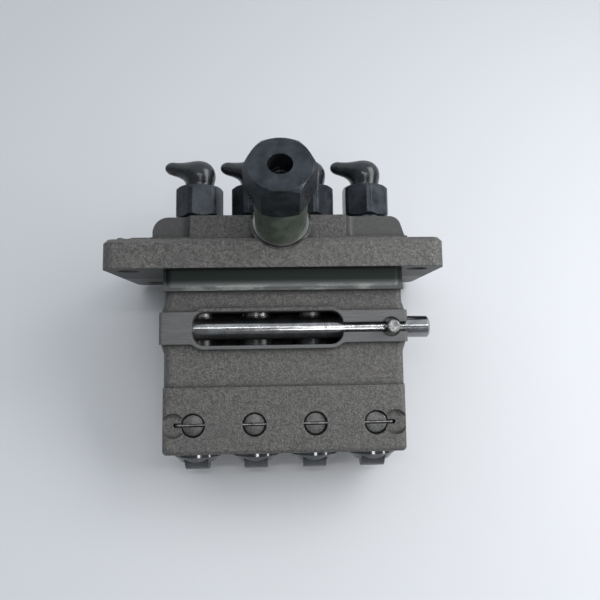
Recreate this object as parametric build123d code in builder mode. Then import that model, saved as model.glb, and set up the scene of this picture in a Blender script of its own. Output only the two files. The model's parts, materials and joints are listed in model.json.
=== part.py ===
from build123d import *
import math
import os

os.makedirs("parts", exist_ok=True)

# Flange-mounted in-line diesel injection pump with four pumping elements. Sizes in millimetres.
# X runs along the plunger row towards the free end of the control rack, -Y is the front with the
# fuel inlet, and +Z points at the delivery valves. Z = 0 is the flange's mounting face.

# Plunger row
cylinders = 4
pitch = 22.0
row_x = [(number - (cylinders - 1) / 2) * pitch for number in range(cylinders)]
row_end = row_x[-1]

# Clearances
running_fit = 0.04
rubber_fit = 0.06
side_gap = 0.3

# Flange
flange_thickness = 11.0
flange_left_reach = 33.7
flange_right_reach = 27.1
flange_front = -18.5
flange_back = 48.0
flange_corner = 5.0
flange_edge = 1.4
flange_bolt_radius = 4.1
front_bolt_y = -9.0
front_bolt_left_reach = 25.4
front_bolt_right_reach = 18.0
rear_bolt_y = 36.0
rear_bolt_left_reach = 23.0
rear_bolt_right_reach = 15.5
pad_height = 1.3
pad_left_reach = 30.3
pad_right_reach = 13.4
pad_front = -13.4
pad_back = 42.0
pad_corner = 3.0
pad_chamfer = 0.8

# Head above the flange
head_top = 20.5
head_left_reach = 16.6
head_right_reach = 14.4
head_front = -13.2
head_back = 14.0
head_left_round = 6.0
head_right_round = 4.5
head_right_draft = 18.0
recess_front = -9.6
recess_left_reach = 2.0
recess_right_inset = 9.0
recess_round = 3.4

# Fitted body just under the flange, with the milled cove along its front
collar_end = 11.4
collar_depth = 8.4
collar_front = -17.8
collar_back = 18.0
collar_corner = 1.5
cove_wall = -14.3
cove_start = 4.0

# Cast middle, machined rack boss and tappet block
middle_end = 11.1
middle_front = -15.4
middle_back = 15.4
middle_corner = 3.0
boss_end = 12.3
boss_front = -17.8
boss_back = 16.2
boss_corner = 1.2
boss_rim = 1.3
boss_blend = 3.0
skirt_height = 3.4
block_end = 11.0
block_front = -16.9
block_back = 16.9
block_top = -43.2
block_bottom = -67.0
block_corner = 2.0
block_edge = 1.6

# Barrels and their seats in the housing
barrel_radius = 6.25
barrel_head_radius = 7.45
barrel_head_height = 5.0
barrel_seat = 3.5
barrel_bottom = -27.2
port_radius = 1.1

# Fuel gallery along the row, with a plug at each end
gallery_y = -7.5
gallery_z = -4.0
gallery_radius = 3.0
plug_radius = 4.0
plug_length = 5.0
plug_socket = 4.0
plug_socket_depth = 2.5
feed_radius = 2.0

# Fuel inlet: seat, washer, spacer sleeve and hexagon union on one tilted axis
inlet_x = -0.8
inlet_y = -13.8
inlet_z = 16.9
inlet_tilt = 22.4
inlet_pocket_radius = 11.5
inlet_boss_depth = 8.0
inlet_boss_back = -10.3
inlet_port_depth = 6.0
inlet_stem_radius = 6.0
washer_radius = 10.4
washer_thickness = 1.5
spacer_radius = 9.7
spacer_length = 19.3
union_flats = 22.0
union_length = 15.2
union_chamfer = 1.6
union_corner_radius = 12.66
union_bore_radius = 4.3
union_bore_depth = 14.0
union_passage_radius = 2.5

# Control chamber, window, rack slot and web over the tappet bores
chamber_top = -16.1
chamber_floor = -28.4
web_bottom = -31.3
window_left_reach = 0.4
window_right_inset = 11.3
window_corner = 4.5
chamber_gap = 0.4

# Control rack and the toothed control sleeves
teeth_per_pitch = 7
sleeve_teeth = 17
first_tooth = -3
last_tooth = 4
pressure_angle = 20.0
backlash = 0.08
flank_steps = 2
rack_radius = 4.0
rack_z = -22.25
rack_left_reach = 10.8
rack_right_reach = 21.2
rack_chamfer = 0.6
rack_flat = 0.5
rack_travel_in = 12.0
slot_height = 3.6
pin_reach = 6.2
pin_shank_radius = 1.7
pin_head_radius = 2.25
pin_head_length = 6.2
pin_chamfer = 0.4
pin_recess_radius = 3.6
pin_recess_depth = 1.4
sleeve_wall = 0.9
sleeve_top = -17.4
pinion_height = 6.8
sleeve_foot = 9.2
sleeve_foot_radius = 6.2
sleeve_foot_bore = 4.9

# Plungers
plunger_radius = 3.0
plunger_top = -5.0
plunger_step = -35.0
vane_height = 3.0
vane_length = 11.6
vane_width = 2.9
stem_radius = 2.4
foot_radius = 4.4
foot_height = 1.8
spill_height = 6.0
spill_land = 1.2

# Tappets, rollers and lower spring seats
lift = 7.0
tappet_radius = 9.1
tappet_top = -52.5
tappet_bottom = -71.4
tappet_chamfer = 2.2
pocket_depth = 2.4
pocket_radius = 4.9
roller_radius = 7.0
roller_width = 8.6
roller_z = -67.6
roller_pin_radius = 2.5
roller_pin_length = 17.0
lower_seat_radius = 8.6
lower_seat_height = 2.0
upper_seat_height = 1.5
upper_seat_radius = 8.8
upper_seat_bore = 6.5

# Plunger springs
spring_radius = 7.6
spring_wire = 2.2
spring_turns = 4.5
spring_steps = 10
spring_sides = 4

# Delivery valves
seat_height = 4.0
seat_radius = 7.3
seat_neck_radius = 4.7
seat_neck_height = 2.5
gasket_height = 0.8
gasket_bore = 5.2
valve_radius = 2.5
valve_head_radius = 3.8
valve_head_height = 2.0
valve_tail = 0.7
valve_spring_radius = 2.7
valve_spring_wire = 0.8
valve_spring_turns = 4.0
valve_spring_steps = 8
valve_spring_sides = 4

# Delivery valve holders and their rubber caps
holder_flats = 17.0
holder_thread_radius = 7.49
hex_bottom = 21.6
hex_top = 33.9
hex_chamfer = 0.9
hex_face_radius = 8.3
hex_corner_radius = 9.3
hex_turns = (13.8, 10.0, 41.0, 33.7)
spring_chamber_radius = 5.4
spring_chamber_top = 23.4
spigot_radius = 5.0
spigot_height = 7.6
outlet_radius = 1.2
outlet_cone_radius = 3.4
cap_neck_radius = 5.7
cap_seat_gap = 0.2
cap_height = 11.1
cap_cavity_height = 8.2
cap_crown_radius = 6.3
cap_crown_steps = 3
beak_reach = 13.8
beak_drop = 0.5
beak_tip_radius = 2.35
beak_root_radius = 5.2
beak_root_x = -1.0

# Guide pins and locking wire
guide_z = -56.6
guide_head_radius = 3.95
guide_head_gap = 0.4
guide_head_height = 3.0
guide_head_sink = 0.9
guide_radius = 2.0
guide_tip = -7.6
driver_slot = 1.2
driver_slot_depth = 1.6
wire_radius = 0.45
wire_depth = 1.5
wire_hole_radius = 0.8
wire_tail = 3.4
wire_reach = 6.3
spot_inset = 4.0
spot_radius = 4.4
spot_depth = 1.6


# Places along the row, measured from its end plungers
flange_left = -row_end - flange_left_reach
flange_right = row_end + flange_right_reach
flange_bolts = (
    (-row_end - front_bolt_left_reach, front_bolt_y),
    (row_end + front_bolt_right_reach, front_bolt_y),
    (-row_end - rear_bolt_left_reach, rear_bolt_y),
    (row_end + rear_bolt_right_reach, rear_bolt_y),
)
pad_left = -row_end - pad_left_reach
pad_right = row_end + pad_right_reach
head_left = -row_end - head_left_reach
head_right = row_end + head_right_reach
recess_left_end = -row_end - recess_left_reach
recess_right_start = row_end - recess_right_inset
window_left = -row_end - window_left_reach
window_right = row_end - window_right_inset
rack_left = -row_end - rack_left_reach
rack_right = row_end + rack_right_reach
pin_x = row_end + pin_reach
wire_left = -row_end - wire_reach
wire_right = row_end + wire_reach

# Derived sizes
tooth_pitch = pitch / teeth_per_pitch
module = tooth_pitch / math.pi
pitch_radius = sleeve_teeth * tooth_pitch / (2 * math.pi)
tip_radius = pitch_radius + module
root_radius = pitch_radius - 1.25 * module
rack_y = -(pitch_radius - module) - rack_radius + rack_flat
sleeve_bore = barrel_radius + running_fit
sleeve_radius = sleeve_bore + sleeve_wall
sleeve_shoulder = web_bottom + side_gap / 2
sleeve_bottom = sleeve_shoulder - sleeve_foot
chamber_radius = tip_radius + chamber_gap
web_radius = sleeve_radius + side_gap
tappet_bore = tappet_radius + running_fit
roller_slot = roller_width + side_gap
seat_bottom = barrel_seat + barrel_head_height
gasket_bottom = seat_bottom + seat_height
holder_bottom = gasket_bottom + gasket_height
neck_top = gasket_bottom + seat_neck_height
cap_bottom = hex_top + cap_seat_gap
cap_top = cap_bottom + cap_height
foot_bottom = tappet_top - pocket_depth
upper_seat_bottom = web_bottom - upper_seat_height
lower_seat_top = tappet_top + lower_seat_height
inlet_out = Vector(0, -math.cos(math.radians(inlet_tilt)), math.sin(math.radians(inlet_tilt)))


def upright(x):
    """Plane through one plunger's axis: local x is +X, local y is +Z."""
    return Plane(origin=(x, 0, 0), x_dir=(1, 0, 0), z_dir=(0, -1, 0))


def turned(x, *points):
    """Solid turned about the upright axis at x, from (radius, height) points."""
    with BuildPart() as body:
        with BuildSketch(upright(x)):
            with BuildLine():
                Polyline(*points, close=True)
            make_face()
        revolve(axis=Axis((x, 0, 0), (0, 0, 1)))
    return body.part


def tube(x, outer, inner, bottom, top):
    """Plain ring between two heights."""
    return turned(x, (inner, bottom), (outer, bottom), (outer, top), (inner, top))


def rod(start, direction, radius, length):
    """Round bar from a point along a direction."""
    with BuildPart() as bar:
        with BuildSketch(Plane(origin=start, z_dir=direction)):
            Circle(radius)
        extrude(amount=length)
    return bar.part


def slab(left, right, front, back, bottom, top, corner):
    """Upright block with rounded vertical corners."""
    with BuildPart() as block:
        with BuildSketch(Plane.XY.offset(bottom)):
            with Locations(((left + right) / 2, (front + back) / 2)):
                RectangleRounded(right - left, back - front, corner)
        extrude(amount=top - bottom)
    return block.part


def inlet_plane(distance):
    """Plane across the inlet axis, so far out of its seat, facing outwards."""
    seat = Vector(inlet_x, inlet_y, inlet_z)
    return Plane(origin=seat + inlet_out * distance, x_dir=(1, 0, 0), z_dir=inlet_out)


def hexagon_bar(plane, flats, length, turn, face_radius, corner_radius, chamfer_height):
    """Hexagon bar whose corners are turned off to a cylinder, and to a cone at both ends."""
    with BuildPart() as bar:
        with BuildSketch(plane):
            RegularPolygon(flats / 2, 6, major_radius=False, rotation=turn)
        extrude(amount=length)
        section = Plane(origin=plane.origin, x_dir=plane.x_dir, z_dir=-plane.y_dir)
        with BuildSketch(section):
            with BuildLine():
                Polyline(
                    (0, 0),
                    (face_radius, 0),
                    (corner_radius, chamfer_height),
                    (corner_radius, length - chamfer_height),
                    (face_radius, length),
                    (0, length),
                    close=True,
                )
            make_face()
        revolve(axis=Axis(plane.origin, plane.z_dir), mode=Mode.INTERSECT)
    return bar.part


def coil(x, radius, wire, turns, bottom, top, steps, sides):
    """Compression spring with closed, ground ends; the wire's section has a few flat sides."""
    closed = 0.75
    rise = (top - bottom - 2 * closed * wire) / (turns - 2 * closed)

    def height(turn):
        if turn < closed:
            return bottom + turn * wire
        if turn > turns - closed:
            return top - (turns - turn) * wire
        return bottom + closed * wire + (turn - closed) * rise

    with BuildPart() as spring:
        for step in range(round(turns * steps) + 1):
            angle = 2 * math.pi * step / steps
            outward = Vector(math.cos(angle), math.sin(angle), 0)
            centre = Vector(x, 0, height(step / steps)) + outward * radius
            along = Vector(-math.sin(angle), math.cos(angle), 0)
            with BuildSketch(Plane(origin=centre, x_dir=outward, z_dir=along)):
                RegularPolygon(wire / 2, sides, rotation=180 / sides)
        loft(ruled=True)
        reach = 4 * (radius + wire)
        with BuildSketch(Plane.XY.offset(bottom)):
            with Locations((x, 0)):
                Rectangle(reach, reach)
        extrude(amount=top - bottom, mode=Mode.INTERSECT)
    return spring.part


def save(part, name):
    part.label = name
    export_step(part, f"parts/{name}.step")


# ---------------------------------------------------------------- housing
def head_casting():
    """Head seen from the front: rounded left shoulder, drafted right side, and stepped-back ends."""
    slant = (head_top - flange_thickness) * math.tan(math.radians(head_right_draft))
    floor = flange_thickness + pad_height
    with BuildPart() as head:
        with BuildSketch(Plane.XZ.offset(-head_back)) as front:
            with BuildLine():
                Polyline(
                    (head_left, 0),
                    (head_right, 0),
                    (head_right, flange_thickness),
                    (head_right - slant, head_top),
                    (head_left, head_top),
                    close=True,
                )
            make_face()
            corners = front.vertices().group_by(Axis.Y)[-1].sort_by(Axis.X)
            fillet(corners[0], head_left_round)
            corners = front.vertices().group_by(Axis.Y)[-1].sort_by(Axis.X)
            fillet(corners[-1], head_right_round)
        extrude(amount=head_back - head_front)
        for side, limit in ((-1, recess_left_end), (1, recess_right_start)):
            width = abs(head_left) + abs(head_right)
            with BuildSketch(Plane.XY.offset(floor)):
                with Locations((limit + side * width / 2, recess_front - width / 2)):
                    RectangleRounded(width, width, recess_round)
            extrude(amount=head_top, mode=Mode.SUBTRACT)
    return head.part


def collar_casting():
    """Body under the flange; a cutter has left a cove along its front, and a sharp lower lip."""
    end = row_end + collar_end
    with BuildPart() as collar:
        add(slab(-end, end, collar_front, collar_back, -collar_depth, 0, collar_corner))
        with BuildSketch(Plane.YZ.offset(-end)):
            with BuildLine():
                Line((cove_wall, 0), (cove_wall, -cove_start))
                TangentArc((cove_wall, -cove_start), (collar_front, -collar_depth), tangent=(0, -1))
                Line((collar_front, -collar_depth), (flange_front, -collar_depth))
                Line((flange_front, -collar_depth), (flange_front, 0))
                Line((flange_front, 0), (cove_wall, 0))
            make_face()
        extrude(amount=2 * end, mode=Mode.SUBTRACT)
    return collar.part


def skirt(edge, foot):
    """Cast slope that leads from the wider rack boss down to the casting beside it."""
    with BuildPart() as slope:
        for height, end in ((edge, row_end + boss_end), (foot, row_end + middle_end)):
            with BuildSketch(Plane.XY.offset(height)):
                with Locations((0, (middle_front + middle_back) / 2)):
                    RectangleRounded(2 * end, middle_back - middle_front, middle_corner)
        loft(ruled=True)
    return slope.part


def inlet_boss():
    """Round boss that carries the inlet seat and clears the valve holders behind it."""
    with BuildPart() as boss:
        with BuildSketch(inlet_plane(0)):
            Circle(inlet_pocket_radius)
        extrude(amount=-inlet_boss_depth)
        add(slab(-pitch, pitch, inlet_boss_back, pitch, head_top, 2 * head_top, side_gap), mode=Mode.SUBTRACT)
    return boss.part


def element_bore(x):
    """Stepped bore of one pumping element, from the tappet up to the valve holder's thread."""
    return turned(
        x,
        (0, block_bottom - 1),
        (tappet_bore, block_bottom - 1),
        (tappet_bore, web_bottom),
        (web_radius, web_bottom),
        (web_radius, chamber_floor + 1),
        (sleeve_bore, chamber_floor + 1),
        (sleeve_bore, barrel_seat),
        (holder_thread_radius + running_fit, barrel_seat),
        (holder_thread_radius + running_fit, head_top + 1),
        (0, head_top + 1),
    )


with BuildPart() as housing:
    # Flange plate with its raised pad
    with BuildSketch():
        with Locations(((flange_left + flange_right) / 2, (flange_front + flange_back) / 2)):
            RectangleRounded(flange_right - flange_left, flange_back - flange_front, flange_corner)
    extrude(amount=flange_thickness)
    chamfer(housing.faces().sort_by(Axis.Z)[-1].edges(), flange_edge)
    pad_top = flange_thickness + pad_height
    add(slab(pad_left, pad_right, pad_front, pad_back, 0, pad_top, pad_corner))
    chamfer(housing.faces().sort_by(Axis.Z)[-1].edges(), pad_chamfer)
    add(head_casting())
    add(inlet_boss())
    # Body under the flange
    end = row_end + middle_end
    add(slab(-end, end, middle_front, middle_back, block_top, 0, middle_corner))
    add(collar_casting())
    band_bottom = chamber_floor + boss_rim / 2
    end = row_end + boss_end
    add(slab(-end, end, boss_front, boss_back, band_bottom, chamber_top, boss_corner))
    for edge, way in ((band_bottom, -1), (chamber_top, 1)):
        add(skirt(edge, edge + way * skirt_height))
    # Machined front of the boss, which widens to a rim around the window
    window_middle = (chamber_top + chamber_floor) / 2
    with BuildSketch(Plane.XZ.offset(-middle_front)) as boss_face:
        with Locations((0, (chamber_top + band_bottom) / 2)):
            Rectangle(2 * end - 2 * boss_corner, chamber_top - band_bottom)
        with Locations(((window_left + window_right) / 2, window_middle)):
            width = window_right - window_left + 2 * boss_rim
            RectangleRounded(width, chamber_top - chamber_floor + 2 * boss_rim, window_corner + boss_rim)
        inset = end - 2 * boss_corner
        notches = boss_face.vertices().filter_by_position(Axis.X, -inset, inset)
        fillet(notches.filter_by_position(Axis.Y, band_bottom - 0.01, chamber_top + 0.01), boss_blend)
    extrude(amount=middle_front - boss_front)
    # Tappet block
    end = row_end + block_end
    with BuildPart(mode=Mode.PRIVATE) as block:
        add(slab(-end, end, block_front, block_back, block_bottom, block_top, block_corner))
        fillet(block.faces().sort_by(Axis.Z)[0].edges(), block_edge)
    add(block.part)
    # Bores of the pumping elements and the control chamber that joins them
    for x in row_x:
        add(element_bore(x), mode=Mode.SUBTRACT)
    with BuildSketch(Plane.XY.offset(chamber_floor)):
        SlotCenterToCenter(2 * row_end, 2 * chamber_radius)
    extrude(amount=chamber_top - chamber_floor, mode=Mode.SUBTRACT)
    with BuildSketch(Plane.XZ.offset(-boss_front)):
        with Locations(((window_left + window_right) / 2, window_middle)):
            RectangleRounded(window_right - window_left, chamber_top - chamber_floor, window_corner)
    extrude(amount=boss_front + pitch_radius, mode=Mode.SUBTRACT)
    # Rack bore, its slot for the pin, and the recess round the pin
    end = row_end + boss_end
    rack_bore = rack_radius + running_fit
    add(rod((-end - 1, rack_y, rack_z), (1, 0, 0), rack_bore, 2 * end + 2), mode=Mode.SUBTRACT)
    with BuildSketch(Plane.XZ.offset(-boss_front)):
        with Locations(((window_right + end) / 2, rack_z)):
            Rectangle(end - window_right + window_corner, slot_height)
    extrude(amount=boss_front - rack_y, mode=Mode.SUBTRACT)
    add(rod((pin_x, boss_front, rack_z), (0, 1, 0), pin_recess_radius, pin_recess_depth), mode=Mode.SUBTRACT)
    # Fuel gallery, its plug seats and the feed from the inlet port
    end = row_end + collar_end
    add(rod((-end, gallery_y, gallery_z), (1, 0, 0), gallery_radius, 2 * end), mode=Mode.SUBTRACT)
    for side in (-1, 1):
        plug_end = (side * end, gallery_y, gallery_z)
        add(rod(plug_end, (-side, 0, 0), plug_radius, plug_length), mode=Mode.SUBTRACT)
    feed_start = (inlet_x, gallery_y, gallery_z)
    add(rod(feed_start, (0, 0, 1), feed_radius, inlet_z - gallery_z - feed_radius), mode=Mode.SUBTRACT)
    # Inlet port and the pocket milled round its seat
    with BuildSketch(inlet_plane(0)):
        Circle(inlet_stem_radius + running_fit)
    extrude(amount=-inlet_port_depth, mode=Mode.SUBTRACT)
    with BuildSketch(inlet_plane(0)):
        Circle(inlet_pocket_radius)
    extrude(amount=spacer_length, mode=Mode.SUBTRACT)
    # Flange bolt holes
    with BuildSketch():
        with Locations(*flange_bolts):
            Circle(flange_bolt_radius)
    extrude(amount=pad_top, mode=Mode.SUBTRACT)
    # Guide pin holes, spot faces and the tunnel of the locking wire
    for x in row_x:
        face = (x, block_front, guide_z)
        sink = guide_head_sink + guide_head_height
        add(rod(face, (0, 1, 0), guide_head_radius + guide_head_gap, sink), mode=Mode.SUBTRACT)
        add(rod(face, (0, 1, 0), guide_radius + running_fit, guide_tip - block_front), mode=Mode.SUBTRACT)
    wire_y = block_front + wire_depth
    tunnel = wire_right - wire_left
    add(rod((wire_left, wire_y, guide_z), (1, 0, 0), wire_hole_radius, tunnel), mode=Mode.SUBTRACT)
    for side, x in ((-1, wire_left), (1, wire_right)):
        spot_x = side * (row_end + block_end - spot_inset)
        add(rod((spot_x, block_front, guide_z), (0, 1, 0), spot_radius, spot_depth), mode=Mode.SUBTRACT)
        tail = wire_depth + wire_tail + side_gap
        add(rod((x, block_front, guide_z), (0, 1, 0), wire_hole_radius, tail), mode=Mode.SUBTRACT)
save(housing.part, "housing")


# ---------------------------------------------------------------- fuel inlet and gallery
with BuildPart() as inlet_washer:
    with BuildSketch(inlet_plane(0)):
        Circle(washer_radius)
        Circle(inlet_stem_radius + side_gap, mode=Mode.SUBTRACT)
    extrude(amount=washer_thickness)
save(inlet_washer.part, "inlet_washer")

with BuildPart() as inlet_spacer:
    with BuildSketch(inlet_plane(washer_thickness)):
        Circle(spacer_radius)
        Circle(inlet_stem_radius + side_gap, mode=Mode.SUBTRACT)
    extrude(amount=spacer_length)
save(inlet_spacer.part, "inlet_spacer")

union_seat = washer_thickness + spacer_length
with BuildPart() as inlet_union:
    start = inlet_plane(union_seat)
    flat = union_flats / 2
    add(hexagon_bar(start, union_flats, union_length, 0, flat, union_corner_radius, union_chamfer))
    with BuildSketch(inlet_plane(union_seat)):
        Circle(inlet_stem_radius)
    extrude(amount=-union_seat - inlet_port_depth)
    with BuildSketch(inlet_plane(union_seat + union_length)):
        Circle(union_bore_radius)
    extrude(amount=-union_bore_depth, mode=Mode.SUBTRACT)
    with BuildSketch(inlet_plane(-inlet_port_depth)):
        Circle(union_passage_radius)
    extrude(amount=union_seat + inlet_port_depth + union_length, mode=Mode.SUBTRACT)
save(inlet_union.part, "inlet_union")

with BuildPart() as gallery_plugs:
    for side in (-1, 1):
        end = side * (row_end + collar_end)
        with BuildSketch(Plane(origin=(end, gallery_y, gallery_z), z_dir=(-side, 0, 0))):
            Circle(plug_radius - running_fit)
        extrude(amount=plug_length)
        with BuildSketch(Plane(origin=(end, gallery_y, gallery_z), z_dir=(-side, 0, 0))):
            RegularPolygon(plug_socket / 2, 6, major_radius=False)
        extrude(amount=plug_socket_depth, mode=Mode.SUBTRACT)
save(gallery_plugs.part, "gallery_plugs")


# ---------------------------------------------------------------- rack
def rack_gap(x):
    """Outline of the space between two rack teeth, centred at x, as seen from above."""
    pitch_line = -pitch_radius
    slope = math.tan(math.radians(pressure_angle))
    half = (tooth_pitch / 2 + backlash) / 2
    top = pitch_line + module + rack_flat
    bottom = pitch_line - 1.25 * module
    return (
        (x - half - (top - pitch_line) * slope, top),
        (x - half + (pitch_line - bottom) * slope, bottom),
        (x + half - (pitch_line - bottom) * slope, bottom),
        (x + half + (top - pitch_line) * slope, top),
    )


with BuildPart() as control_rack:
    add(rod((rack_left, rack_y, rack_z), (1, 0, 0), rack_radius, rack_right - rack_left))
    chamfer(control_rack.faces().sort_by(Axis.X)[-1].edges(), rack_chamfer)
    toothed_right = row_end + rack_travel_in + tip_radius
    with BuildSketch(Plane.XY.offset(rack_z - rack_radius)) as gaps:
        with Locations(((rack_left + toothed_right) / 2, -(pitch_radius - module) + rack_flat)):
            Rectangle(toothed_right - rack_left, 2 * rack_flat)
        first = math.floor((rack_left - row_x[0]) / tooth_pitch)
        last = math.floor((toothed_right - row_x[0]) / tooth_pitch)
        for number in range(first, last):
            with BuildLine():
                Polyline(*rack_gap(row_x[0] + (number + 0.5) * tooth_pitch), close=True)
            make_face()
    extrude(amount=2 * rack_radius, mode=Mode.SUBTRACT)
    pin_hole = rod((pin_x, rack_y, rack_z), (0, -1, 0), pin_shank_radius + running_fit, rack_radius)
    add(pin_hole, mode=Mode.SUBTRACT)
save(control_rack.part, "control_rack")

with BuildPart() as rack_pin:
    head_back_y = boss_front - side_gap
    add(rod((pin_x, rack_y, rack_z), (0, -1, 0), pin_shank_radius, rack_y - head_back_y))
    add(rod((pin_x, head_back_y, rack_z), (0, -1, 0), pin_head_radius, pin_head_length))
    chamfer(rack_pin.faces().sort_by(Axis.Y)[0].edges(), pin_chamfer)
save(rack_pin.part, "rack_pin")


# ---------------------------------------------------------------- control sleeves
def tooth_outline(centre_angle):
    """Points of one involute tooth on the sleeve, starting and ending inside its hub."""
    base = pitch_radius * math.cos(math.radians(pressure_angle))

    def involute(radius):
        return math.tan(math.acos(base / radius)) - math.acos(base / radius)

    half_at_pitch = (tooth_pitch / 2 - backlash) / (2 * pitch_radius)
    half_at_base = half_at_pitch + involute(pitch_radius)
    flank = [(root_radius - module, half_at_base)]
    for step in range(flank_steps + 1):
        radius = base + (tip_radius - base) * step / flank_steps
        flank.append((radius, half_at_base - involute(radius)))
    outline = [(radius, centre_angle - half) for radius, half in flank]
    outline += [(radius, centre_angle + half) for radius, half in reversed(flank)]
    return [(radius * math.cos(angle), radius * math.sin(angle)) for radius, angle in outline]


def control_sleeve(x):
    """Sleeve that turns on the barrel, with a toothed sector above and slots for the vane below."""
    pinion_bottom = rack_z - pinion_height / 2
    with BuildPart() as sleeve:
        add(
            turned(
                x,
                (sleeve_foot_bore, sleeve_bottom),
                (sleeve_foot_radius, sleeve_bottom),
                (sleeve_foot_radius, sleeve_shoulder),
                (sleeve_radius, sleeve_shoulder),
                (sleeve_radius, sleeve_top),
                (sleeve_bore, sleeve_top),
                (sleeve_bore, barrel_bottom - side_gap),
                (sleeve_foot_bore, barrel_bottom - side_gap),
            )
        )
        with BuildSketch(Plane(origin=(x, 0, pinion_bottom))):
            Circle(root_radius)
            for number in range(first_tooth, last_tooth + 1):
                angle = math.radians(-90) + (number + 0.5) * 2 * math.pi / sleeve_teeth
                with BuildLine():
                    Polyline(*tooth_outline(angle), close=True)
                make_face()
            Circle(sleeve_bore, mode=Mode.SUBTRACT)
        extrude(amount=pinion_height)
        with BuildSketch(Plane(origin=(x, 0, sleeve_bottom))):
            Rectangle(2 * sleeve_foot_radius + 1, vane_width + 2 * running_fit)
        extrude(amount=plunger_step + lift + side_gap - sleeve_bottom, mode=Mode.SUBTRACT)
    return sleeve.part


# ---------------------------------------------------------------- pumping elements
def plunger(x):
    """Plunger with its spill edge, the vane that the sleeve turns, and the foot under the spring seat."""
    vane_bottom = plunger_step - vane_height
    neck_bottom = foot_bottom + foot_height
    with BuildPart() as body:
        add(
            turned(
                x,
                (0, foot_bottom),
                (foot_radius, foot_bottom),
                (foot_radius, neck_bottom),
                (stem_radius, neck_bottom),
                (stem_radius, plunger_step),
                (plunger_radius, plunger_step),
                (plunger_radius, plunger_top),
                (0, plunger_top),
            )
        )
        with BuildSketch(Plane(origin=(x, 0, vane_bottom))):
            Rectangle(vane_length, vane_width)
        extrude(amount=vane_height)
        with BuildSketch(Plane(origin=(x, -plunger_radius, 0), x_dir=(1, 0, 0), z_dir=(0, -1, 0))):
            with BuildLine():
                Polyline(
                    (plunger_radius, plunger_top - spill_land),
                    (plunger_radius, plunger_top - spill_land - spill_height),
                    (-plunger_radius, plunger_top - spill_land - spill_height),
                    close=True,
                )
            make_face()
        extrude(amount=-plunger_radius / 2, mode=Mode.SUBTRACT)
    return body.part


def barrel(x):
    """Barrel with its seating head, and the port that fills and spills it."""
    with BuildPart() as body:
        add(
            turned(
                x,
                (plunger_radius + running_fit, barrel_bottom),
                (barrel_radius, barrel_bottom),
                (barrel_radius, barrel_seat),
                (barrel_head_radius, barrel_seat),
                (barrel_head_radius, seat_bottom),
                (plunger_radius + running_fit, seat_bottom),
            )
        )
        add(rod((x, 0, gallery_z), (0, -1, 0), port_radius, barrel_radius), mode=Mode.SUBTRACT)
    return body.part


def delivery_seat(x):
    return turned(
        x,
        (valve_radius + running_fit, seat_bottom),
        (seat_radius, seat_bottom),
        (seat_radius, gasket_bottom),
        (seat_neck_radius, gasket_bottom),
        (seat_neck_radius, neck_top),
        (valve_radius + running_fit, neck_top),
    )


def delivery_valve(x):
    head = neck_top + valve_head_height
    return turned(
        x,
        (0, seat_bottom + valve_tail),
        (valve_radius, seat_bottom + valve_tail),
        (valve_radius, neck_top),
        (valve_head_radius, neck_top),
        (valve_head_radius, head),
        (0, head),
    )


def delivery_holder(x, turn):
    """Screwed valve holder: thread, hexagon and the outlet spigot with its sealing cone."""
    spigot_top = hex_top + spigot_height
    with BuildPart() as holder:
        seat = Plane(origin=(x, 0, hex_bottom), x_dir=(1, 0, 0), z_dir=(0, 0, 1))
        hexagon = hex_top - hex_bottom
        add(hexagon_bar(seat, holder_flats, hexagon, turn, hex_face_radius, hex_corner_radius, hex_chamfer))
        add(tube(x, holder_thread_radius, 0, holder_bottom, hex_bottom))
        add(tube(x, spigot_radius, 0, hex_top, spigot_top))
        channel = turned(
            x,
            (0, holder_bottom),
            (spring_chamber_radius, holder_bottom),
            (spring_chamber_radius, spring_chamber_top),
            (outlet_radius, spring_chamber_top),
            (outlet_radius, spigot_top - outlet_cone_radius + outlet_radius),
            (outlet_cone_radius, spigot_top),
            (0, spigot_top),
        )
        add(channel, mode=Mode.SUBTRACT)
    return holder.part


def rubber_cap(x):
    """Soft cap on the outlet: a round neck under a ball that runs out into a blunt beak along -X."""
    crown = cap_top - cap_crown_radius
    lowest = -math.acos(cap_neck_radius / cap_crown_radius)
    angles = [lowest + (math.pi / 2 - lowest) * step / cap_crown_steps for step in range(cap_crown_steps)]
    ball = [(cap_crown_radius * math.cos(a), crown + cap_crown_radius * math.sin(a)) for a in angles]
    tip = Vector(x - beak_reach + beak_tip_radius, 0, cap_top - beak_drop - beak_tip_radius)
    root = Vector(x + beak_root_x, 0, cap_top - beak_drop - beak_root_radius)
    length = (root - tip).length
    lean = math.asin((beak_root_radius - beak_tip_radius) / length)
    blunt = beak_tip_radius * math.sqrt(1 / 2)
    touch = (-beak_tip_radius * math.sin(lean), beak_tip_radius * math.cos(lean))
    end = (length - beak_root_radius * math.sin(lean), beak_root_radius * math.cos(lean))
    with BuildPart() as cap:
        add(turned(x, (0, cap_bottom), (cap_neck_radius, cap_bottom), *ball, (0, cap_top)))
        with BuildSketch(Plane(origin=tip, x_dir=root - tip, z_dir=(0, -1, 0))):
            with BuildLine():
                Polyline((-beak_tip_radius, 0), (-blunt, blunt), touch, end, (length, 0), close=True)
            make_face()
        revolve(axis=Axis(tip, root - tip))
        cavity = tube(x, spigot_radius + rubber_fit, 0, cap_bottom, cap_bottom + cap_cavity_height)
        add(cavity, mode=Mode.SUBTRACT)
    return cap.part


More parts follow.
